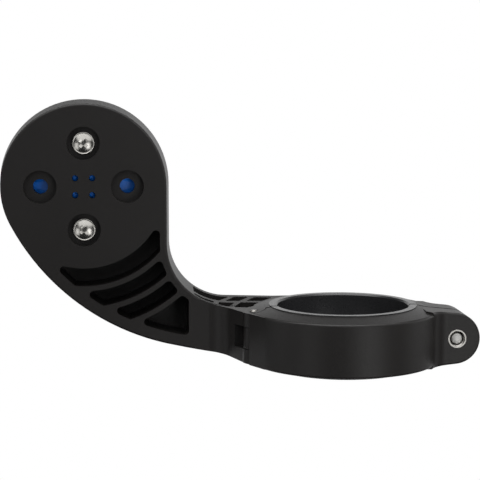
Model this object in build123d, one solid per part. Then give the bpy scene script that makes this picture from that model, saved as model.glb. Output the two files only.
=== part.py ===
from build123d import *
import math
import os

# A mount that holds a cycle computer in front of a handlebar, in its place on the bar.
# Origin: centre of the clamp's bore. +X is forward, +Y runs along the bar to the
# rider's left and +Z is up, towards the computer. Lengths are millimetres, angles degrees.

# Handlebar, and the grip liner that lies between it and the clamp
bar_r = 15.9
liner_wall = 2.05
liner_width = 15.0
liner_play = 0.05
liner_edge = 0.4

# Clamp ring: the upper half belongs to the arm, the lower half is the jaw
ring_wall = 5.0
ring_width = 12.4
collar_width = 14.6
ring_edge = 0.6
split_z = -2.2
split_gap = 0.8

# Hinge at the front of the ring
pin_from_bore = 3.9
pin_r = 1.0
pin_play = 0.05
pin_end_rise = 0.3
pin_edge = 0.3
arm_knuckle_r = 2.75
jaw_knuckle_r = 2.5
jaw_knuckle_width = 5.2
knuckle_side_play = 0.15
knuckle_relief = 0.25
slot_reach = 4.4
slot_rise = 4.0
jaw_nose_reach = 1.4
jaw_nose_drop = 3.15
jaw_neck_back = 7.8
jaw_neck_edge = 0.1

# Tabs at the rear, drawn together by the clamp screw
tab_from_ring = 3.4
tab_r = 6.2
tab_end_lead = 0.6
tab_root_half = 7.0
tab_sink = 0.5
tab_edge = 0.6
upper_tab_height = 6.8
lower_tab_height = 6.2
lower_web_r = 4.5
upper_web_r = 3.0

# Clamp screw: a socket cap screw
screw_r = 1.5
screw_length = 10.0
screw_tip_chamfer = 0.35
cap_r = 2.75
cap_height = 3.0
cap_edge = 0.25
socket_flats = 2.5
socket_depth = 1.5
cap_play = 0.35
shank_play = 0.2
cap_sink = 0.4

# Threaded steel bush in the jaw's tab
bush_r = 2.25
bush_length = 4.0
bush_play = 0.35
bush_mouth = 0.15

# Head: the round end that carries the computer
head_r = 20.0
head_forward = 62.4
head_left = 35.9
head_thickness = 11.5
underside_z = 6.0
draft_angle = 4.5
underside_edge = 0.5

# Arm between the ring and the head
inner_corner_r = 15.4
outer_bend_r = 57.2
outer_bend_start = -27.0
outer_bend_end_x = 42.0
arm_root_half = 6.35
arm_neck_x = 15.5
arm_sink = 0.35
arm_rear_x = 8.0
crotch_r = 8.0
flare_from_pin = 2.56
flare_slope = 63.5
flare_corner_r = 5.5
flare_inset = 0.1

# Pockets in the arm's underside, between ribs that are concentric with the head
pocket_skin = 2.0
pocket_outer_wall = 2.9
pocket_inner_wall = 1.7
pocket_first_r = 19.9
pocket_widths = [4.4, 4.0, 3.75]
pocket_rib = 1.2
pocket_top_y = 28.2
pocket_end_back = 25.3
pocket_corner = 1.0

# Truss of openings in the flare, seen from the +Y side: its ribs run between points given as
# (ahead of the ring, height)
truss_floor_y = -2.8
truss_corner = 0.45
truss_front_back = 26.7
truss_skin = 1.9
truss_ring_wall = 1.2
truss_edge = 0.95
truss_low_edge = 2.6
truss_rib = 1.2
truss_mid_width = 1.6
truss_mid_rib = ((-5.0, 10.9), (14.0, 9.4))
truss_ribs = [
    ((6.2, 10.0), (2.3, 16.6)),
    ((1.1, 10.4), (-2.9, 16.6)),
    ((7.0, 10.0), (7.7, 5.0)),
    ((1.4, 10.6), (4.3, 3.6)),
]

# Quarter turn insert, held in the head from above
insert_r = 15.4
insert_play = 0.1
insert_seat_z = 10.5
insert_floor = 2.5
insert_wall = 2.4
insert_height = 7.8
lip_reach = 2.5
lip_thickness = 1.5
lip_angle = 76.0
lip_root = 0.5
insert_edge = 0.4

# Screws that hold the insert, on a bolt circle, and four pegs that stop it turning
bolt_circle = 21.0
counterbore_r = 4.0
counterbore_depth = 2.0
clearance_r = 1.82
pan_r = 2.65
pan_height = 1.7
pan_bevel = 0.8
pan_shank_r = 1.4
pan_shank_length = 4.6
pilot_spare = 0.15
recess_width = 0.75
recess_reach = 1.55
recess_depth = 0.9
thread_play = 0.05
peg_pitch = 4.1
peg_r = 0.72
peg_play = 0.05
peg_root = 0.5

# Sizes that follow from those above
ring_bore_r = bar_r + liner_wall + liner_play
ring_r = ring_bore_r + ring_wall
ring_middle_r = ring_bore_r + ring_wall / 2
pin_x = ring_bore_r + pin_from_bore
pin_z = split_z
screw_x = -(ring_r + tab_from_ring)
upper_z = split_z + split_gap / 2
lower_z = split_z - split_gap / 2
upper_tab_top = upper_z + upper_tab_height
lower_tab_bottom = lower_z - lower_tab_height
cap_seat_z = upper_tab_top - cap_height - cap_sink
top_z = underside_z + head_thickness
draft = head_thickness * math.tan(math.radians(draft_angle))
slot_half = jaw_knuckle_width / 2 + knuckle_side_play

# How far cutting shapes run: past a face, and past everything
cut_over = 1.0
far = 250.0


def ring_about_bore(inner_r, outer_r, inner_width, outer_width, edge):
    """A ring about the bore, wider at its bore than at its rim, with rounded rim edges."""
    a = inner_width / 2
    b = outer_width / 2
    section = Polygon((inner_r, -a), (outer_r, -b), (outer_r, b), (inner_r, a), align=None)
    section = fillet(section.vertices().sort_by(Axis.X)[-2:], edge)
    return revolve(section, Axis.Y, 360)


def layer(low_z, high_z):
    """A wide block between two heights, for halving the round forms."""
    return Pos(0, 0, (low_z + high_z) / 2) * Box(far, far, high_z - low_z)


def upright_rod(x, y, low_z, high_z, radius):
    return Pos(x, y, (low_z + high_z) / 2) * Cylinder(radius, high_z - low_z)


def cross_rod(radius, low_y, high_y):
    """A cylinder about the hinge pin's axis."""
    return Pos(pin_x, (low_y + high_y) / 2, pin_z) * Rot(90, 0, 0) * Cylinder(radius, high_y - low_y)


def side_extrusion(face, low_y, high_y):
    """Extrudes a face drawn as (forward, up) across the mount, from low_y to high_y."""
    upright = Plane(origin=(0, high_y, 0), x_dir=(1, 0, 0), z_dir=(0, -1, 0))
    return extrude(upright * face, amount=high_y - low_y, dir=(0, -1, 0))


def upward(face, low_z, high_z):
    """Extrudes a plan view between two heights."""
    return extrude(Pos(0, 0, low_z) * face, amount=high_z - low_z, dir=(0, 0, 1))


def web_profile(z, side, forward, web_r):
    """The concave arc between a flat face at height z and the ring's rim, as its centre and
    three points. The face looks up where side is 1, and lies ahead of the ring where
    forward is 1."""
    centre_z = z + side * web_r
    centre = Vector(forward * math.sqrt((ring_r + web_r)**2 - centre_z**2), centre_z)
    leave = Vector(centre.X, z)
    touch = centre * (ring_r / (ring_r + web_r))
    middle = centre + ((leave + touch) / 2 - centre).normalized() * web_r
    return centre, leave, middle, touch


def crotch_web():
    """The web in front of the ring, above the arm."""
    centre, leave, middle, touch = web_profile(top_z, 1, 1, crotch_r)
    rim = ThreePointArc(leave, middle, touch)
    face = make_face([rim, Polyline(touch, touch * (ring_middle_r / ring_r), leave - Vector(0, 1), leave)])
    return side_extrusion(face, -ring_width / 2, ring_width / 2)


def tab_plan():
    """Plan of a rear tab, which narrows from the ring to a round end about the clamp screw."""
    root_x = -ring_bore_r - tab_sink
    end = Pos(screw_x + tab_end_lead, 0) * Circle(tab_r)
    return make_hull(end.edges() + Line((root_x, -tab_root_half), (root_x, tab_root_half)).edges())


def tab(inner_z, outer_z, web_r):
    """A rear tab between two heights, with a web from its outer face to the ring."""
    centre, leave, middle, touch = web_profile(outer_z, math.copysign(1, outer_z - inner_z), -1, web_r)
    end_x = screw_x - tab_r
    face = make_face([
        ThreePointArc(leave, middle, touch),
        Polyline(touch, touch * (ring_middle_r / ring_r), (-ring_bore_r - tab_sink, inner_z),
                 (end_x, inner_z), (end_x, outer_z), leave),
    ])
    body = side_extrusion(face, -far, far) & upward(tab_plan(), -far / 2, far / 2)
    middles = [(e, e.position_at(0.5)) for e in body.edges()]
    middles = [(e, m) for e, m in middles if abs(m.Y) > tab_edge or m.X < screw_x]
    rim = [e for e, m in middles if abs(m.Z - outer_z) < 0.01]
    rim += [e for e, m in middles if abs((Vector(m.X, m.Z) - centre).length - web_r) < 0.01]
    return fillet(rim, tab_edge)


def outer_bend(grow):
    """Start, middle, end and centre of the bend along the arm's outer side, grown by the draft."""
    angle = math.radians(outer_bend_start)
    start = Vector(head_forward, head_left) + Vector(math.cos(angle), math.sin(angle)) * (head_r + grow)
    centre = start - Vector(math.cos(angle), math.sin(angle)) * (outer_bend_r + grow)
    drop = math.sqrt((outer_bend_r + grow)**2 - (outer_bend_end_x - centre.X)**2)
    end = Vector(outer_bend_end_x, centre.Y - drop)
    middle = centre + ((start + end) / 2 - centre).normalized() * (outer_bend_r + grow)
    return start, middle, end, centre


def arm_outline(grow):
    """Plan of the arm and the head, grown outwards by the draft at its height."""
    start, middle, end, centre = outer_bend(grow)
    half = arm_root_half + grow
    neck = half - arm_sink
    rear_x = head_forward - head_r - grow
    corner_r = inner_corner_r - grow
    heel = (ring_r, -half)
    bend = ThreePointArc(start, middle, end)
    return make_face([
        bend,
        TangentArc(end, heel, tangent=bend % 1),
        Polyline(heel, (arm_neck_x, -neck), (arm_rear_x, -neck), (arm_rear_x, neck), (arm_neck_x, neck),
                 (rear_x - corner_r, half)),
        RadiusArc((rear_x - corner_r, half), (rear_x, half + corner_r), -corner_r),
        Line((rear_x, half + corner_r), (rear_x, head_left)),
        ThreePointArc((rear_x, head_left), (head_forward, head_left + head_r + grow), start),
    ])


def flare_corners():
    """Foot of the flare's slope beside the hinge pin, and where the slope would meet the underside."""
    slope = math.radians(flare_slope)
    foot = Vector(pin_x + flare_from_pin * math.sin(slope), pin_z - flare_from_pin * math.cos(slope))
    return foot, Vector(foot.X + (underside_z - foot.Y) / math.tan(slope), underside_z)


def flare_face():
    """Side view of the flare that runs from the arm's underside down to the hinge."""
    foot, corner = flare_corners()
    front_x = corner.X + flare_corner_r
    face = Polygon((pin_x, pin_z), (foot.X, foot.Y), (corner.X, corner.Y), (front_x, underside_z),
                   (front_x, underside_z + 1), (pin_x, underside_z + 1), align=None)
    return fillet([v for v in face.vertices() if (Vector(v) - corner).length < 0.01], flare_corner_r)


def arm_plate():
    """The arm and the head with their draft and rounded lower edge, before pockets and holes."""
    low = Pos(0, 0, underside_z) * arm_outline(0)
    plate = loft([low, Pos(0, 0, top_z) * arm_outline(draft)], ruled=True)
    return fillet(plate.faces().sort_by(Axis.Z)[0].edges(), underside_edge)


def ring_cheeks(reach):
    """The space between the ring's two sloping sides, carried on past its rim by a reach."""
    slope = (collar_width - ring_width) / 2 / ring_wall
    inner = collar_width / 2
    outer = ring_width / 2 - slope * reach
    return revolve(Polygon((ring_bore_r, -inner), (ring_r + reach, -outer), (ring_r + reach, outer),
                           (ring_bore_r, inner), align=None), Axis.Y, 360)


def arm_flare():
    """The web between the arm's underside and the hinge, and the hinge's knuckle, flush with the ring."""
    side = flare_face() + Pos(pin_x, pin_z) * Circle(arm_knuckle_r)
    block = side_extrusion(side, -far, far)
    plan = upward(arm_outline(-flare_inset), lower_tab_bottom, top_z)
    return (block & plan) + (block & ring_cheeks(arm_knuckle_r))


def openings(field, corner):
    """The parts of a field that are wide enough to mould, with rounded corners."""
    wide = [face for face in field.faces() if face.area > corner * face.outer_wire().length]
    return [offset(offset(face, -corner), corner) for face in wide]


def truss_field():
    """Side view of the space that the truss's openings may take."""
    front_x = head_forward - truss_front_back
    roof = top_z - truss_skin
    low = underside_z + truss_edge
    field = Pos(front_x / 2, (low + roof) / 2) * Rectangle(front_x, roof - low)
    field += Pos(-truss_edge, truss_edge) * flare_face()
    field -= Circle(ring_r - truss_ring_wall)
    depth = 2 * slot_rise
    slot_top = pin_z + slot_rise + truss_low_edge
    return field - Pos(pin_x, slot_top - depth) * Rectangle(far, 2 * depth)


def rib_strip(ends, width):
    """A rib in side view, between two points given as (ahead of the ring, height)."""
    start, end = [Vector(ring_r + ahead, height) for ahead, height in ends]
    spine = end - start
    middle = (end + start) / 2
    turn = math.degrees(math.atan2(spine.Y, spine.X))
    return Pos(middle.X, middle.Y) * Rot(0, 0, turn) * Rectangle(spine.length, width)


def truss_cuts():
    field = truss_field() - rib_strip(truss_mid_rib, truss_mid_width)
    for ends in truss_ribs:
        field -= rib_strip(ends, truss_rib)
    return [side_extrusion(cell, truss_floor_y, head_left) for cell in openings(field, truss_corner)]


def pocket_field():
    """Plan of the space that the underside's pockets may take."""
    centre = outer_bend(0)[3]
    rear_x = head_forward - head_r
    corner = (rear_x - inner_corner_r, arm_root_half + inner_corner_r)
    field = Pos(centre.X, centre.Y) * Circle(outer_bend_r - pocket_outer_wall)
    field -= Pos(*corner) * Circle(inner_corner_r + pocket_inner_wall)
    width = far - rear_x - pocket_inner_wall
    upper = Pos(rear_x + pocket_inner_wall + width / 2, (corner[1] + pocket_top_y) / 2)
    upper = upper * Rectangle(width, pocket_top_y - corner[1])
    lower = Pos(head_forward - pocket_end_back + far / 2, corner[1] - far / 2) * Rectangle(far, far)
    return field & (upper + lower)


def pocket_bands():
    """The pockets' inner and outer radii about the head's middle."""
    inner = pocket_first_r
    bands = []
    for width in pocket_widths + [far]:
        bands.append((inner, inner + width))
        inner += width + pocket_rib
    return bands


def pocket_cuts():
    field = pocket_field()
    head = Pos(head_forward, head_left)
    cuts = []
    for inner, outer in pocket_bands():
        band = field & (head * Circle(outer) - head * Circle(inner))
        for pocket in openings(band, pocket_corner):
            cuts.append(upward(pocket, underside_z, top_z - pocket_skin))
    return cuts


def head_places(angles):
    """Points on the bolt circle at the given angles from straight ahead."""
    return [Pos(head_forward, head_left) * Rot(0, 0, a) * Pos(bolt_circle / 2, 0) for a in angles]


def peg_places():
    half = peg_pitch / 2
    return [Pos(head_forward + i * half, head_left + j * half) for i in (-1, 1) for j in (-1, 1)]


def head_cuts():
    """Recess for the insert, four counterbored holes and the pegs' holes."""
    below = underside_z - cut_over
    cuts = [upright_rod(head_forward, head_left, insert_seat_z, top_z + cut_over, insert_r + insert_play)]
    for place in head_places((0, 90, 180, 270)):
        cuts.append(place * upright_rod(0, 0, below, underside_z + counterbore_depth, counterbore_r))
        cuts.append(place * upright_rod(0, 0, underside_z, insert_seat_z, clearance_r))
    for place in peg_places():
        cuts.append(place * upright_rod(0, 0, below, insert_seat_z, peg_r + peg_play))
    return cuts


def hinge_slot():
    """The slot in the arm for the jaw's knuckle, open ahead of it as a window."""
    length = slot_reach + pin_x - ring_bore_r + cut_over
    low = lower_tab_bottom
    high = pin_z + slot_rise
    return Pos(pin_x + slot_reach - length / 2, 0, (low + high) / 2) * Box(length, 2 * slot_half, high - low)


def screw_clearance():
    """Holes in the upper tab for the clamp screw's shank and head."""
    shank = upright_rod(screw_x, 0, lower_z, upper_tab_top, screw_r + shank_play)
    return shank + upright_rod(screw_x, 0, cap_seat_z, ring_r, cap_r + cap_play)


def mount_arm():
    """The arm, head and upper half of the clamp, moulded in one."""
    ring = ring_about_bore(ring_bore_r, ring_r, collar_width, ring_width, ring_edge) & layer(upper_z, far)
    body = arm_plate() + arm_flare() - Rot(90, 0, 0) * Cylinder(ring_bore_r, far)
    body += ring + crotch_web() + tab(upper_z, upper_tab_top, upper_web_r)
    cuts = truss_cuts() + pocket_cuts() + head_cuts()
    cuts += [hinge_slot(), screw_clearance(), cross_rod(pin_r, -far / 2, far / 2)]
    for cut in cuts:
        body -= cut
    return body


def jaw_side_face():
    """Side view of the jaw's nose, a straight line tangent to the ring that ends at the hinge."""
    nose = Vector(pin_x + jaw_nose_reach, pin_z - jaw_nose_drop)
    turn = math.atan2(nose.Y, nose.X) - math.acos(ring_r / nose.length)
    touch = (ring_r * math.cos(turn), ring_r * math.sin(turn))
    inside = (ring_middle_r * math.cos(turn), ring_middle_r * math.sin(turn))
    return Polygon(touch, (nose.X, nose.Y), (pin_x, lower_z), (ring_middle_r, lower_z), inside, align=None)


def clamp_jaw():
    """The lower half of the clamp, from the hinge's middle knuckle to the screw's tab."""
    body = ring_about_bore(ring_bore_r, ring_r, collar_width, ring_width, ring_edge) & layer(-far, lower_z)
    body += side_extrusion(jaw_side_face(), -ring_width / 2, ring_width / 2)
    body += tab(lower_z, lower_tab_bottom, lower_web_r)
    body -= cross_rod(arm_knuckle_r + knuckle_relief, -far / 2, far / 2)
    neck = side_extrusion(jaw_side_face(), -jaw_knuckle_width / 2, jaw_knuckle_width / 2)
    ring = ring_about_bore(ring_bore_r, ring_r, jaw_knuckle_width, jaw_knuckle_width, jaw_neck_edge)
    body += neck + (ring & layer(-ring_r, lower_z) & Pos(ring_r, 0, 0) * Box(2 * jaw_neck_back, far, far))
    body += cross_rod(jaw_knuckle_r, -jaw_knuckle_width / 2, jaw_knuckle_width / 2)
    body -= Rot(90, 0, 0) * Cylinder(ring_bore_r, far)
    body -= cross_rod(pin_r + pin_play, -far / 2, far / 2)
    body -= upright_rod(screw_x, 0, lower_tab_bottom, lower_z, screw_r + bush_play)
    body -= upright_rod(screw_x, 0, lower_tab_bottom, lower_tab_bottom + bush_length, bush_r)
    return body


def liner(low_z, high_z):
    """Half of the soft sleeve between the clamp and the bar."""
    section = Polygon((bar_r, -liner_width / 2), (bar_r + liner_wall, -liner_width / 2),
                      (bar_r + liner_wall, liner_width / 2), (bar_r, liner_width / 2), align=None)
    section = chamfer(section.vertices().sort_by(Axis.X)[:2], liner_edge)
    return revolve(section, Axis.Y, 360) & layer(low_z, high_z)


def hinge_pin():
    """The steel pin, whose bevelled ends stand a little proud of the knuckles."""
    half = arm_root_half + pin_end_rise
    return chamfer(cross_rod(pin_r, -half, half).edges().filter_by(GeomType.CIRCLE), pin_edge)


def clamp_screw():
    """Socket cap screw, its head in the upper tab and its tip in the bush."""
    shank = upright_rod(screw_x, 0, cap_seat_z - screw_length, cap_seat_z, screw_r)
    shank = chamfer(shank.edges().filter_by(GeomType.CIRCLE).sort_by(Axis.Z)[0], screw_tip_chamfer)
    head = upright_rod(screw_x, 0, cap_seat_z, cap_seat_z + cap_height, cap_r)
    head = chamfer(head.edges().filter_by(GeomType.CIRCLE).sort_by(Axis.Z)[-1], cap_edge)
    hexagon = RegularPolygon(socket_flats / 2, 6, major_radius=False)
    cap_top = cap_seat_z + cap_height
    socket = upward(Pos(screw_x, 0) * hexagon, cap_top - socket_depth, cap_top)
    return shank + head - socket


def jaw_bush():
    """Steel bush that the clamp screw threads into, flush with the tab's outer face."""
    top = lower_tab_bottom + bush_length
    bush = upright_rod(screw_x, 0, lower_tab_bottom, top, bush_r)
    bush -= upright_rod(screw_x, 0, lower_tab_bottom, top, screw_r + bush_play)
    return chamfer(bush.edges().filter_by(GeomType.CIRCLE).sort_by(Axis.Z)[0], bush_mouth)


def socket_lip(angle):
    """One of the two lips that hold the computer's ears, about the given angle."""
    ring = Circle(insert_r - insert_wall + lip_root) - Circle(insert_r - insert_wall - lip_reach)
    half = math.radians(lip_angle / 2)
    reach = 2 * insert_r
    wedge = Polygon((0, 0), (reach * math.cos(half), -reach * math.sin(half)),
                    (reach * math.cos(half), reach * math.sin(half)), align=None)
    return upward(Rot(0, 0, angle) * (ring & wedge), insert_height - lip_thickness, insert_height)


def quarter_turn_insert():
    """The coloured socket that the computer turns into, with pegs that show below the head."""
    body = Cylinder(insert_r, insert_height, align=(Align.CENTER, Align.CENTER, Align.MIN))
    body = chamfer(body.edges().filter_by(GeomType.CIRCLE).sort_by(Axis.Z)[-1], insert_edge)
    hollow = Cylinder(insert_r - insert_wall, insert_height, align=(Align.CENTER, Align.CENTER, Align.MIN))
    body -= Pos(0, 0, insert_floor) * hollow
    for angle in (90, 270):
        body += socket_lip(angle)
    body = Pos(head_forward, head_left, insert_seat_z) * body
    for place in peg_places():
        body += place * upright_rod(0, 0, underside_z, insert_seat_z + peg_root, peg_r)
    depth = pan_shank_length - (insert_seat_z - underside_z - counterbore_depth) + pilot_spare
    for place in head_places((90, 270)):
        body -= place * upright_rod(0, 0, insert_seat_z, insert_seat_z + depth, pan_shank_r + thread_play)
    return body


def pan_screw():
    """Pan head screw standing head down, its bearing face at height 0."""
    head = upright_rod(0, 0, -pan_height, 0, pan_r)
    head = chamfer(head.edges().filter_by(GeomType.CIRCLE).sort_by(Axis.Z)[0], pan_bevel)
    reach = 2 * recess_reach
    cross = Box(reach, recess_width, recess_depth) + Box(recess_width, reach, recess_depth)
    head -= Pos(0, 0, -pan_height + recess_depth / 2) * cross
    return head + upright_rod(0, 0, 0, pan_shank_length, pan_shank_r)


def insert_screws():
    seat = Pos(0, 0, underside_z + counterbore_depth)
    return Compound(children=[place * seat * pan_screw() for place in head_places((90, 270))])


pieces = {
    "mount_arm": mount_arm,
    "quarter_turn_insert": quarter_turn_insert,
    "insert_screws": insert_screws,
    "hinge_pin": hinge_pin,
    "upper_liner": lambda: liner(upper_z, ring_r),
    "clamp_jaw": clamp_jaw,
    "jaw_bush": jaw_bush,
    "lower_liner": lambda: liner(-ring_r, lower_z),
    "clamp_screw": clamp_screw,
}

os.makedirs("parts", exist_ok=True)
for name, make in pieces.items():
    export_step(make(), f"parts/{name}.step")
    print("wrote", name)
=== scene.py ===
import math

import bmesh
import bpy
from mathutils import Matrix, Vector


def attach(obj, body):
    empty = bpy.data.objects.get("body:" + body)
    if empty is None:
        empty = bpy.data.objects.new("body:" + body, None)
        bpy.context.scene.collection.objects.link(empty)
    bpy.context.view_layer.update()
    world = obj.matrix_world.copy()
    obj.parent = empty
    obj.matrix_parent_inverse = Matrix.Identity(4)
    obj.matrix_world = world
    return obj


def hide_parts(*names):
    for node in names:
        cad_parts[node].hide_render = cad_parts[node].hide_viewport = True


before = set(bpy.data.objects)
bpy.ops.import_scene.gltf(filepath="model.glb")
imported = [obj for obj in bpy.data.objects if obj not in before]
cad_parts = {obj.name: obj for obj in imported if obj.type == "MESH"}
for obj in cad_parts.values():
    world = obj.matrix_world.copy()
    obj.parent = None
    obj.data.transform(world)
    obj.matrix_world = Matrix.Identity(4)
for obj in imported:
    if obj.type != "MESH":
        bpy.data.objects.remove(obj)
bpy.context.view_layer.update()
mm = 0.001
print("frame loaded")

# Camera: below the mount, looking up at its underside, as the photograph does, lengths in mm
cameraView = {
    "place": (53.8, 62.6, -333.1),
    "forward": (-0.0854, -0.1167, 0.9895),
    "up": (-0.010, 0.993, 0.116),
    "lens": 105.0,
    "sensorWidth": 36.0,
    "clipStart": 10.0,
    "clipEnd": 20000.0,
}

# Studio: places and sizes in mm, power in watts
studio = {
    "backdrop": {"place": (0, 0, 600), "aim": (0, 0, 0), "size": (6000, 6000)},
    "backdropColour": "#f2f2f0",
    "skyColour": "#f4f6fa",
    "skyGlow": 0.55,
    # Black cards round the mount: only reflections see them
    "cardColour": "#0b0b0c",
    "cardRoughness": 0.9,
    "cards": {
        "cameraCard": {"place": (60, -250, -700), "aim": (60, -250, 0), "size": (5000, 5000)},
        "lowCard": {"place": (0, -900, 0), "aim": (0, 0, 0), "size": (5000, 3000)},
        "highCard": {"place": (0, 1100, 540), "aim": (0, 1100, 0), "size": (5000, 1500)},
        "leftDark": {"place": (800, -500, 300), "aim": (0, 0, 0), "size": (900, 900)},
        "rightDark": {"place": (-900, -600, 300), "aim": (0, 0, 0), "size": (900, 900)},
    },
    # Area lamps: reflections show only those that are glossy
    "lamps": {
        "overheadSoftbox": {"place": (60, 420, -40), "aim": (20, 10, 0), "size": (500, 300),
                            "power": 1.4, "glossy": True},
        "frontSoftbox": {"place": (0, 400, -380), "aim": (20, 10, 0), "size": (1000, 640),
                         "power": 1.9, "glossy": True},
        "lowFill": {"place": (-240, -260, -460), "aim": (-20, 0, 0), "size": (500, 300),
                    "power": 2.3, "glossy": False},
        "sideCard": {"place": (-190, -125, -450), "aim": (-20, 0, 0), "size": (320, 200),
                     "power": 0.4, "glossy": True},
        "leftCard": {"place": (420, -130, -380), "aim": (20, 0, 0), "size": (340, 200),
                     "power": 0.24, "glossy": True},
    },
    # The direction that the upper edge of a card or a lamp leans towards
    "upright": (0.1, 0.3, 1),
}


def linear(hexColour):  # sRGB hex to the linear colour that shaders take
    values = [int(hexColour[i:i + 2], 16) / 255 for i in (1, 3, 5)]
    return [v / 12.92 if v <= 0.04045 else ((v + 0.055) / 1.055)**2.4 for v in values] + [1.0]


def addNode(tree, kind, inputs=None, **settings):  # a node, with inputs that are linked or set
    node = tree.nodes.new(kind)
    for name, value in settings.items():
        setattr(node, name, value)
    for key, value in (inputs or {}).items():
        if isinstance(value, bpy.types.NodeSocket):
            tree.links.new(value, node.inputs[key])
        else:
            node.inputs[key].default_value = value
    return node


def showWhite(tree, shader, output):  # what the camera and mirror-like surfaces see is plain white
    path = addNode(tree, "ShaderNodeLightPath")
    seen = path.outputs["Is Camera Ray"]
    for ray in ("Is Glossy Ray", "Is Transmission Ray"):
        either = addNode(tree, "ShaderNodeMath", {0: seen, 1: path.outputs[ray]}, operation="MAXIMUM")
        seen = either.outputs[0]
    kind = "ShaderNodeEmission" if output == "ShaderNodeOutputMaterial" else "ShaderNodeBackground"
    white = addNode(tree, kind, {"Color": (1, 1, 1, 1), "Strength": 1.0})
    mix = addNode(tree, "ShaderNodeMixShader", {0: seen, 1: shader, 2: white.outputs[0]})
    addNode(tree, output, {"Surface": mix.outputs[0]})


def makeWorld():
    world = bpy.data.worlds.new("studioSky")
    world.use_nodes = True
    tree = world.node_tree
    tree.nodes.clear()
    sky = addNode(tree, "ShaderNodeBackground", {
        "Color": linear(studio["skyColour"]), "Strength": studio["skyGlow"]})
    showWhite(tree, sky.outputs[0], "ShaderNodeOutputWorld")
    bpy.context.scene.world = world


def facing(forward, up):  # turn that points an object's -Z along forward, with its +Y near up
    back = -Vector(forward).normalized()
    right = Vector(up).cross(back).normalized()
    return Matrix((right, back.cross(right), back)).transposed().to_4x4()


def makeCamera():
    data = bpy.data.cameras.new("photoCamera")
    data.lens = cameraView["lens"]
    data.sensor_width = cameraView["sensorWidth"]
    data.clip_start = cameraView["clipStart"] * mm
    data.clip_end = cameraView["clipEnd"] * mm
    camera = bpy.data.objects.new("photoCamera", data)
    bpy.context.collection.objects.link(camera)
    turn = facing(cameraView["forward"], cameraView["up"])
    camera.matrix_world = Matrix.Translation(Vector(cameraView["place"]) * mm) @ turn
    bpy.context.scene.camera = camera


def aimed(look):  # place and turn of a lamp or a card that faces its aim
    away = Vector(look["aim"]) - Vector(look["place"])
    return Matrix.Translation(Vector(look["place"]) * mm) @ facing(away, studio["upright"])


def stagePlane(name, look, material):  # a flat rectangle of the studio, which isn't part of the mount
    x, y = [side * mm / 2 for side in look["size"]]
    mesh = bpy.data.meshes.new(name)
    mesh.from_pydata([(-x, -y, 0), (x, -y, 0), (x, y, 0), (-x, y, 0)], [], [(0, 1, 2, 3)])
    mesh.materials.append(material)
    plane = bpy.data.objects.new(name, mesh)
    plane.matrix_world = aimed(look)
    bpy.context.collection.objects.link(plane)
    return plane


def makeBackdrop():
    paint = bpy.data.materials.new("paintedBackdrop")
    paint.use_nodes = True
    tree = paint.node_tree
    tree.nodes.clear()
    matt = addNode(tree, "ShaderNodeBsdfDiffuse", {"Color": linear(studio["backdropColour"])})
    showWhite(tree, matt.outputs[0], "ShaderNodeOutputMaterial")
    stagePlane("backdrop", studio["backdrop"], paint)


def makeCards():
    paper = bpy.data.materials.new("blackCard")
    paper.use_nodes = True
    surface = paper.node_tree.nodes["Principled BSDF"]
    surface.inputs["Base Color"].default_value = linear(studio["cardColour"])
    surface.inputs["Roughness"].default_value = studio["cardRoughness"]
    for name, look in studio["cards"].items():
        card = stagePlane(name, look, paper)
        card.visible_camera = False
        card.visible_shadow = False
        card.visible_diffuse = False


def makeLamps():
    for name, look in studio["lamps"].items():
        data = bpy.data.lights.new(name, "AREA")
        data.shape = "RECTANGLE"
        data.size, data.size_y = [side * mm for side in look["size"]]
        data.energy = look["power"]
        lamp = bpy.data.objects.new(name, data)
        lamp.matrix_world = aimed(look)
        lamp.visible_glossy = look["glossy"]
        bpy.context.collection.objects.link(lamp)


# Materials: hex colours are sRGB, lengths are mm
finishes = {
    # Glass filled nylon, injection moulded in a spark eroded mould: near black, satin, finely grained
    "mouldedNylon": {"light": "#151312", "dark": "#100e0d", "patch": 14.0, "grain": 0.3, "relief": 0.02,
                     "strength": 0.5, "roughness": (0.41, 0.51), "metallic": 0.0, "ior": 1.45},
    # Polyurethane sleeve, moulded: near black, smooth enough that its rim mirrors the backdrop
    "mouldedPolyurethane": {"light": "#212122", "dark": "#1a1a1b", "patch": 9.0, "grain": 0.45,
                            "relief": 0.015, "strength": 0.35, "roughness": (0.26, 0.36),
                            "metallic": 0.0, "ior": 1.5},
    # ABS, moulded and dyed through: a clear mid blue with a soft shine
    "mouldedBlueAbs": {"light": "#0957aa", "dark": "#074a96", "patch": 7.0, "grain": 0.3, "relief": 0.012,
                       "strength": 0.4, "roughness": (0.4, 0.5), "metallic": 0.0, "ior": 1.4},
    # Steel, cold headed and nickel plated: bright and smooth
    "platedSteel": {"light": "#d6d4cf", "dark": "#c4c1bb", "patch": 1.6, "grain": 0.2, "relief": 0.002,
                    "strength": 0.15, "roughness": (0.23, 0.28), "metallic": 1.0, "ior": None},
    # Steel, rolled and zinc plated: pale and satin, so that its end looks evenly bright
    "zincedSteel": {"light": "#e2e1de", "dark": "#cfceca", "patch": 1.4, "grain": 0.2, "relief": 0.01,
                    "strength": 0.4, "roughness": (0.42, 0.54), "metallic": 1.0, "ior": None},
    # Steel, turned and left bare: a little duller, with fine marks
    "turnedSteel": {"light": "#c6c4c0", "dark": "#aeaba6", "patch": 1.2, "grain": 0.15, "relief": 0.01,
                    "strength": 0.4, "roughness": (0.32, 0.42), "metallic": 1.0, "ior": None},
    # Steel, drawn into pins and left bare: grey and dull
    "drawnSteel": {"light": "#8b8985", "dark": "#73706c", "patch": 1.2, "grain": 0.15, "relief": 0.01,
                   "strength": 0.4, "roughness": (0.36, 0.46), "metallic": 1.0, "ior": None},
}

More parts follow.
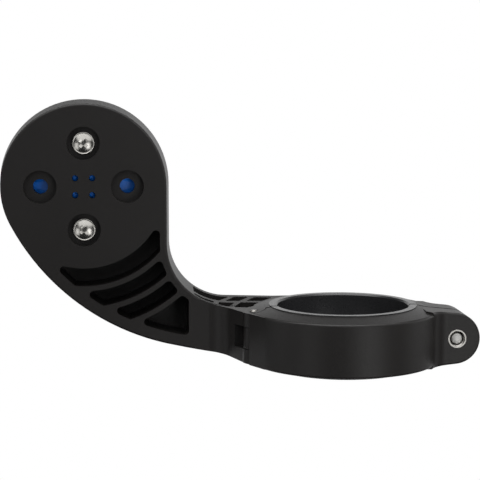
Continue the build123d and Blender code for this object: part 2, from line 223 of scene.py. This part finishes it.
# The frame's own pieces that keep their meshes, and their finish
finishOfNode = {
    "mount_arm": "mouldedNylon",
    "clamp_jaw": "mouldedNylon",
    "upper_liner": "mouldedPolyurethane",
    "lower_liner": "mouldedPolyurethane",
    "hinge_pin": "drawnSteel",
}

# What all finishes share: the noises' detail, and the span of the grain that moves the roughness
noise = {"patchDetail": 3.0, "grainDetail": 2.0, "low": 0.3, "high": 0.7}


def noiseField(tree, place, size, detail):  # soft noise whose blotches are about this size in mm
    field = addNode(tree, "ShaderNodeTexNoise", {
        "Vector": place, "Scale": 1 / (size * mm), "Detail": detail})
    return field.outputs["Fac"]


def makeFinish(name):
    look = finishes[name]
    material = bpy.data.materials.new(name)
    material.use_nodes = True
    tree = material.node_tree
    tree.nodes.clear()
    place = addNode(tree, "ShaderNodeTexCoord").outputs["Object"]
    patches = noiseField(tree, place, look["patch"], noise["patchDetail"])
    colour = addNode(tree, "ShaderNodeMix", {  # 6 and 7 are its two colours
        "Factor": patches, 6: linear(look["dark"]), 7: linear(look["light"])}, data_type="RGBA")
    grain = noiseField(tree, place, look["grain"], noise["grainDetail"])
    low, high = look["roughness"]
    rough = addNode(tree, "ShaderNodeMapRange", {  # 1 and 2 are the span it takes, 3 and 4 what it gives
        "Value": grain, 1: noise["low"], 2: noise["high"], 3: low, 4: high})
    bump = addNode(tree, "ShaderNodeBump", {
        "Height": grain, "Strength": look["strength"], "Distance": look["relief"] * mm})
    surface = addNode(tree, "ShaderNodeBsdfPrincipled", {
        "Base Color": colour.outputs[2], "Roughness": rough.outputs[0], "Metallic": look["metallic"],
        "Normal": bump.outputs[0]})
    if look["ior"]:
        surface.inputs["IOR"].default_value = look["ior"]
    addNode(tree, "ShaderNodeOutputMaterial", {"Surface": surface.outputs[0]})
    return material


def lathe(points, segments=96):  # turns (radius, height) points in mm about Z, closed where the radius is 0
    shape = bmesh.new()
    rings = []
    for radius, height in points:
        if radius == 0:
            rings.append([shape.verts.new((0, 0, height * mm))])
            continue
        turns = [2 * math.pi * i / segments for i in range(segments)]
        rings.append([shape.verts.new((radius * mm * math.cos(t), radius * mm * math.sin(t), height * mm))
                      for t in turns])
    for lower, upper in zip(rings, rings[1:]):
        for i in range(segments):
            j = (i + 1) % segments
            corners = [(lower, i), (lower, j), (upper, j), (upper, i)]
            corners = [ring[k % len(ring)] for ring, k in corners]
            shape.faces.new(list(dict.fromkeys(corners)))
    bmesh.ops.recalc_face_normals(shape, faces=shape.faces)
    return shape


def prism(lowLoop, highLoop, lowHeight, highHeight):  # joins two outlines of (x, y) points in mm
    shape = bmesh.new()
    low = [shape.verts.new((x * mm, y * mm, lowHeight * mm)) for x, y in lowLoop]
    high = [shape.verts.new((x * mm, y * mm, highHeight * mm)) for x, y in highLoop]
    shape.faces.new(low)
    shape.faces.new(high)
    for i in range(len(low)):
        j = (i + 1) % len(low)
        shape.faces.new((low[i], low[j], high[j], high[i]))
    bmesh.ops.recalc_face_normals(shape, faces=shape.faces)
    return shape


def weld(shape):  # makes one of the points that lie in the same place
    bmesh.ops.remove_doubles(shape, verts=shape.verts, dist=0.001 * mm)


def asObject(shape, name):
    mesh = bpy.data.meshes.new(name)
    shape.to_mesh(mesh)
    shape.free()
    thing = bpy.data.objects.new(name, mesh)
    bpy.context.collection.objects.link(thing)
    return thing


def finished(thing):  # the object's mesh with its modifiers applied and none left on it
    ready = bpy.data.meshes.new_from_object(thing.evaluated_get(bpy.context.evaluated_depsgraph_get()))
    thing.modifiers.clear()
    thing.data = ready
    return thing


def carve(thing, cutter):  # takes the cutter out of the object, and away
    cut = thing.modifiers.new("carve", "BOOLEAN")
    cut.operation = "DIFFERENCE"
    cut.solver = "EXACT"
    cut.object = cutter
    finished(thing)
    bpy.data.objects.remove(cutter)


def moved(thing, x, y, turn=0.0):  # puts a piece made about the Z axis in its place, in its mesh
    spin = Matrix.Rotation(math.radians(turn), 4, "Z")
    thing.data.transform(Matrix.Translation((x * mm, y * mm, 0)) @ spin)
    return thing


def coated(thing, material, angle=32):  # one material, smooth shading, and flat faces that look flat
    thing.data.materials.clear()
    thing.data.materials.append(material)
    thing.data.polygons.foreach_set("material_index", [0] * len(thing.data.polygons))
    thing.data.shade_smooth()
    thing.data.set_sharp_from_angle(angle=math.radians(angle))
    weights = thing.modifiers.new("flatFaces", "WEIGHTED_NORMAL")
    weights.keep_sharp = True
    return finished(thing)


def joined(things, name):  # one object with the meshes of several
    whole = bmesh.new()
    for thing in things:
        whole.from_mesh(thing.data)
        bpy.data.objects.remove(thing)
    return asObject(whole, name)


# Ridges of threads and knurls: the straight steps in one turn, and the corners of a ridge's section
ridges = {"steps": 40, "corners": 4}


def newTree(name, inputs):  # a Geometry Nodes tree with named inputs
    tree = bpy.data.node_groups.new(name, "GeometryNodeTree")
    tree.interface.new_socket("Geometry", in_out="INPUT", socket_type="NodeSocketGeometry")
    tree.interface.new_socket("Geometry", in_out="OUTPUT", socket_type="NodeSocketGeometry")
    for label, kind in inputs.items():
        tree.interface.new_socket(label, in_out="INPUT", socket_type=kind)
    return tree, addNode(tree, "NodeGroupInput")


def endTree(tree, given, added, lift):  # lifts what is added and joins it to what is there, in one material
    rise = addNode(tree, "ShaderNodeCombineXYZ", {"Z": lift})
    placed = addNode(tree, "GeometryNodeTransform", {
        "Geometry": added.outputs[0], "Translation": rise.outputs[0]})
    both = addNode(tree, "GeometryNodeJoinGeometry")
    tree.links.new(given.outputs["Geometry"], both.inputs[0])
    tree.links.new(placed.outputs[0], both.inputs[0])
    real = addNode(tree, "GeometryNodeRealizeInstances", {"Geometry": both.outputs[0]})
    covered = addNode(tree, "GeometryNodeSetMaterial", {
        "Geometry": real.outputs[0], "Material": given.outputs["Material"]})
    addNode(tree, "NodeGroupOutput", {0: covered.outputs[0]})


def grow(thing, tree, values):  # runs a tree on the object with these inputs
    modifier = thing.modifiers.new(tree.name, "NODES")
    modifier.node_group = tree
    for item in tree.interface.items_tree:
        if item.in_out == "INPUT" and item.name in values:
            modifier[item.identifier] = values[item.name]
    return finished(thing)


def makeThreadTree():  # a ridge that winds round the Z axis
    tree, given = newTree("screwThread", {
        "Turns": "NodeSocketFloat", "Radius": "NodeSocketFloat", "Height": "NodeSocketFloat",
        "Ridge": "NodeSocketFloat", "Start": "NodeSocketFloat", "Material": "NodeSocketMaterial"})
    helix = addNode(tree, "GeometryNodeCurveSpiral", {
        "Resolution": ridges["steps"], "Rotations": given.outputs["Turns"],
        "Start Radius": given.outputs["Radius"], "End Radius": given.outputs["Radius"],
        "Height": given.outputs["Height"]})
    ridge = addNode(tree, "GeometryNodeCurvePrimitiveCircle", {
        "Resolution": ridges["corners"], "Radius": given.outputs["Ridge"]})
    swept = addNode(tree, "GeometryNodeCurveToMesh", {
        "Curve": helix.outputs[0], "Profile Curve": ridge.outputs[0], "Fill Caps": True})
    endTree(tree, given, swept, given.outputs["Start"])
    return tree


def makeKnurlTree():  # upright ridges round a cylinder
    tree, given = newTree("knurl", {
        "Count": "NodeSocketInt", "Radius": "NodeSocketFloat", "Ridge": "NodeSocketFloat",
        "Height": "NodeSocketFloat", "Middle": "NodeSocketFloat", "Material": "NodeSocketMaterial"})
    circle = addNode(tree, "GeometryNodeMeshCircle", {
        "Vertices": given.outputs["Count"], "Radius": given.outputs["Radius"]})
    number = addNode(tree, "GeometryNodeInputIndex")
    step = addNode(tree, "ShaderNodeMath", {
        0: 2 * math.pi, 1: given.outputs["Count"]}, operation="DIVIDE")
    turn = addNode(tree, "ShaderNodeMath", {
        0: number.outputs[0], 1: step.outputs[0]}, operation="MULTIPLY")
    spin = addNode(tree, "ShaderNodeCombineXYZ", {"Z": turn.outputs[0]})
    ridge = addNode(tree, "GeometryNodeMeshCylinder", {
        "Vertices": ridges["corners"], "Radius": given.outputs["Ridge"], "Depth": given.outputs["Height"]})
    ring = addNode(tree, "GeometryNodeInstanceOnPoints", {
        "Points": circle.outputs[0], "Instance": ridge.outputs[0], "Rotation": spin.outputs[0]})
    endTree(tree, given, ring, given.outputs["Middle"])
    return tree


def addThread(thing, tree, material, look, radius, low):  # winds at this radius from above the low end
    thread = look["thread"]
    turns = (look["length"] - thread["spare"]) / thread["pitch"]
    grow(thing, tree, {
        "Turns": turns, "Radius": radius * mm, "Height": turns * thread["pitch"] * mm,
        "Ridge": thread["ridge"] * mm, "Start": (low + thread["start"]) * mm, "Material": material})


def fromCorner(points, radius, height):  # outline points that are given from a corner
    return [(radius + outwards, height + upwards) for outwards, upwards in points]


# Clamp screw: socket cap screw in the rear tabs, lengths in mm. A rounded edge is a list of points
# (outwards, upwards) from the corner that it rounds
capScrew = {
    "place": (-26.4, 0.0), "seat": 1.6, "length": 10.0, "shankRadius": 1.5, "plainEnd": 0.25, "runOut": 0.3,
    "thread": {"pitch": 0.5, "depth": 0.18, "sink": 0.17, "ridge": 0.17, "start": 0.5, "spare": 1.6},
    "tipRound": [(-0.2, 0.0), (-0.08, 0.05), (0.0, 0.2)],
    "capRadius": 2.75, "capHeight": 3.0, "footEdge": 0.15,
    "capRound": [(0.0, -0.5), (-0.06, -0.3), (-0.2, -0.1), (-0.4, 0.0)],
    "socketFlats": 2.5, "socketDepth": 1.5, "cutterRise": 1.0,
    "knurls": {"count": 36, "rise": 0.09, "shorter": 0.7, "lower": 0.15},
}


def makeCapScrew(material, threadTree, knurlTree):
    look = capScrew
    thread = look["thread"]
    knurls = look["knurls"]
    seat = look["seat"]
    top = seat + look["capHeight"]
    tip = seat - look["length"]
    body = look["capRadius"] - knurls["rise"]
    shank = look["shankRadius"]
    root = shank - thread["depth"]
    outline = [(0, tip)] + fromCorner(look["tipRound"], root, tip)
    outline += [(root, seat - look["runOut"]), (shank, seat - look["plainEnd"]), (shank, seat)]
    outline += [(body - look["footEdge"], seat), (body, seat + look["footEdge"])]
    outline += fromCorner(look["capRound"], body, top) + [(0, top)]
    screw = asObject(lathe(outline), "clampScrew")
    reach = look["socketFlats"] / 2 / math.cos(math.pi / 6)
    corners = [math.radians(60 * i) for i in range(6)]
    hexagon = [(reach * math.cos(t), reach * math.sin(t)) for t in corners]
    socket = prism(hexagon, hexagon, top - look["socketDepth"], top + look["cutterRise"])
    carve(screw, asObject(socket, "hexCutter"))
    addThread(screw, threadTree, material, look, shank - thread["sink"], tip)
    grow(screw, knurlTree, {
        "Count": knurls["count"], "Radius": body * mm, "Ridge": knurls["rise"] * mm,
        "Height": (look["capHeight"] - knurls["shorter"]) * mm,
        "Middle": (seat + 0.5 * look["capHeight"] - knurls["lower"]) * mm, "Material": material})
    coated(moved(screw, *look["place"]), material)
    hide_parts("clamp_screw")
    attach(screw, "clamp_screw")
    print("clamp screw made")


# The blue insert, as in the frame but with its four pegs stopping inside their holes, lengths in mm
insertPegs = {"end": 6.0, "slack": 0.01, "recess": 1.2}


def makeInsert(material):
    look = insertPegs
    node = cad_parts["quarter_turn_insert"]
    whole = bmesh.new()
    whole.from_mesh(node.data)
    weld(whole)
    for point in whole.verts:
        if point.co.z < (look["end"] + look["slack"]) * mm:
            point.co.z += look["recess"] * mm
    insert = coated(asObject(whole, "blueInsert"), material)
    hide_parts("quarter_turn_insert")
    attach(insert, "arm")
    print("insert made")


# Pan head screws that hold the blue insert, lengths in mm. They stand head down
panScrews = {
    "places": [(62.4, 46.4, 42.0), (62.4, 25.4, 50.0)],  # x, y and the turn of the recess in degrees
    "seat": 8.0, "headRadius": 2.65, "headHeight": 1.7, "seatEdge": 0.08,
    "domeRadius": 2.35, "domeRise": 0.62, "domeSteps": 12,
    "lip": [(-0.22, -0.02), (-0.1, -0.1), (-0.03, -0.08), (0.0, 0.0)],  # (outwards, upwards) from the rim
    "recessReach": 1.65, "recessWidth": 0.8, "recessDepth": 0.52, "cutterStart": 0.02,
    "reachTaper": 0.3, "widthTaper": 0.8,  # the recess's floor as a share of its mouth
    "length": 4.6, "shankRadius": 1.4, "plainEnd": 0.3, "runOut": 0.4, "point": 0.5,
    "thread": {"pitch": 0.7, "depth": 0.22, "sink": 0.2, "ridge": 0.19, "start": 0.6, "spare": 1.2},
}


def domeOutline(radius, rise, low, steps):  # arc from the lowest point at the middle out to the radius
    ball = (radius**2 + rise**2) / (2 * rise)
    reaches = [radius * i / steps for i in range(steps + 1)]
    return [(x, low + ball - math.sqrt(ball**2 - x**2)) for x in reaches]


def crossOutline(reach, half):  # a cross, from its arms' reach and half their width
    quarter = [(reach, -half), (reach, half), (half, half)]
    cross = []
    for arm in range(4):
        cross += quarter
        quarter = [(-y, x) for x, y in quarter]
    return cross


def crossCutter(look, low):  # narrows from its mouth to its floor, most at the ends of the arms
    half = look["recessWidth"] / 2
    mouth = crossOutline(look["recessReach"], half)
    floor = [[v * (look["reachTaper"] if abs(v) > half else look["widthTaper"]) for v in point]
             for point in mouth]
    return asObject(prism(mouth, floor, low - look["cutterStart"], low + look["recessDepth"]), "crossCutter")


def makePanScrews(material, threadTree):
    look = panScrews
    thread = look["thread"]
    seat = look["seat"]
    low = seat - look["headHeight"]
    end = seat + look["length"]
    rim = look["headRadius"]
    shank = look["shankRadius"]
    root = shank - thread["depth"]
    outline = domeOutline(look["domeRadius"], look["domeRise"], low, look["domeSteps"])
    outline += fromCorner(look["lip"], rim, low + look["domeRise"])
    outline += [(rim, seat - look["seatEdge"]), (rim - look["seatEdge"], seat), (shank, seat)]
    outline += [(shank, seat + look["plainEnd"]), (root, seat + look["runOut"])]
    outline += [(root, end - look["point"]), (root - look["point"], end), (0, end)]
    things = []
    for x, y, turn in look["places"]:
        screw = asObject(lathe(outline), "panScrew")
        carve(screw, crossCutter(look, low))
        addThread(screw, threadTree, material, look, shank - thread["sink"], seat)
        things.append(moved(screw, x, y, turn))
    screws = coated(joined(things, "insertScrews"), material)
    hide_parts("insert_screws")
    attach(screws, "arm")
    print("insert screws made")


# Threaded bush in the jaw's tab, lengths in mm
bush = {
    "place": (-26.4, 0.0), "face": -8.8, "length": 4.0, "radius": 2.25, "rimEdge": 0.06, "boreRadius": 1.85,
    "mouth": [(0.0, 0.05), (0.04, 0.0)],  # (outwards, upwards) from the bore's edge in the outer face
    "back": [(0.05, 0.0), (0.0, -0.1)],  # the same in the inner face
    "thread": {"pitch": 0.5, "sink": 0.02, "ridge": 0.14, "start": 0.35, "spare": 0.7},
}


def makeBush(material, threadTree):
    look = bush
    low = look["face"]
    high = low + look["length"]
    bore = look["boreRadius"]
    rim = look["radius"]
    mouth = fromCorner(look["mouth"], bore, low)
    outline = mouth[1:] + [(rim - look["rimEdge"], low), (rim, low + look["rimEdge"]), (rim, high)]
    outline += fromCorner(look["back"], bore, high) + mouth
    shape = lathe(outline)
    weld(shape)
    bmesh.ops.recalc_face_normals(shape, faces=shape.faces)
    ring = asObject(shape, "threadedBush")
    addThread(ring, threadTree, material, look, bore + look["thread"]["sink"], low)
    coated(moved(ring, *look["place"]), material)
    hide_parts("jaw_bush")
    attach(ring, "jaw")
    print("bush made")


makeWorld()
makeCamera()
makeBackdrop()
makeCards()
makeLamps()
print("studio ready")

materials = {name: makeFinish(name) for name in finishes}
for node, finish in finishOfNode.items():
    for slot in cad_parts[node].material_slots:
        slot.material = materials[finish]
print("finishes on the moulded parts and the pin")

threadTree = makeThreadTree()
knurlTree = makeKnurlTree()
makeCapScrew(materials["zincedSteel"], threadTree, knurlTree)
makePanScrews(materials["platedSteel"], threadTree)
makeBush(materials["turnedSteel"], threadTree)
makeInsert(materials["mouldedBlueAbs"])

bpy.context.scene.view_settings.view_transform = "Standard"
